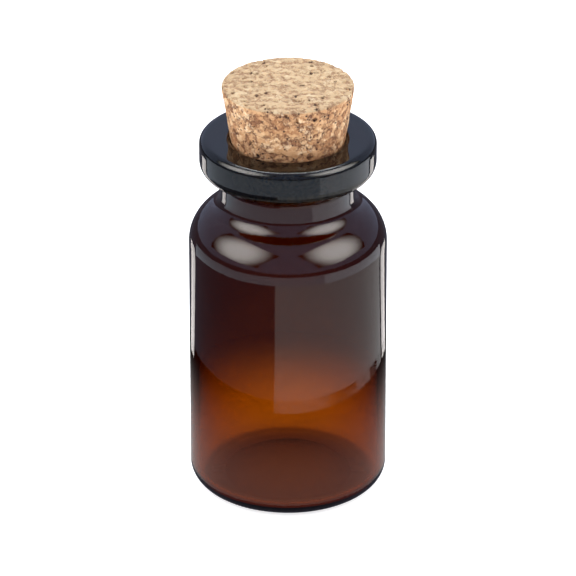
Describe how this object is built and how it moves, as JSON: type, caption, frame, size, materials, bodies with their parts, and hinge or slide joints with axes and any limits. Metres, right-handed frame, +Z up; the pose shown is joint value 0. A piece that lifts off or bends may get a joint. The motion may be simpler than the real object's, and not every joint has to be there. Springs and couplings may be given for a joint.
{
  "type": "medicine bottle",
  "caption": "Small round amber glass medicine vial with a flanged mouth and a tapered cork stopper that pulls out.",
  "frame": {"origin": "middle of the flat ring that the bottle stands on", "axes": "+Z up along the bottle's axis, out of the mouth; +X and +Y are free, because both pieces are round"},
  "size_m": [0.022, 0.022, 0.0484],
  "materials": {
    "amber_glass": "gloss",
    "cork": "matte"
  },
  "bodies": {
    "bottle": {"glass_bottle": "amber_glass"},
    "stopper": {"cork_stopper": "cork"}
  },
  "joints": [
    {"name": "cork_pull", "type": "slide", "parent": "bottle", "child": "stopper", "axis": [0, 0, 1], "range_m": [0, 0.016]}
  ]
}
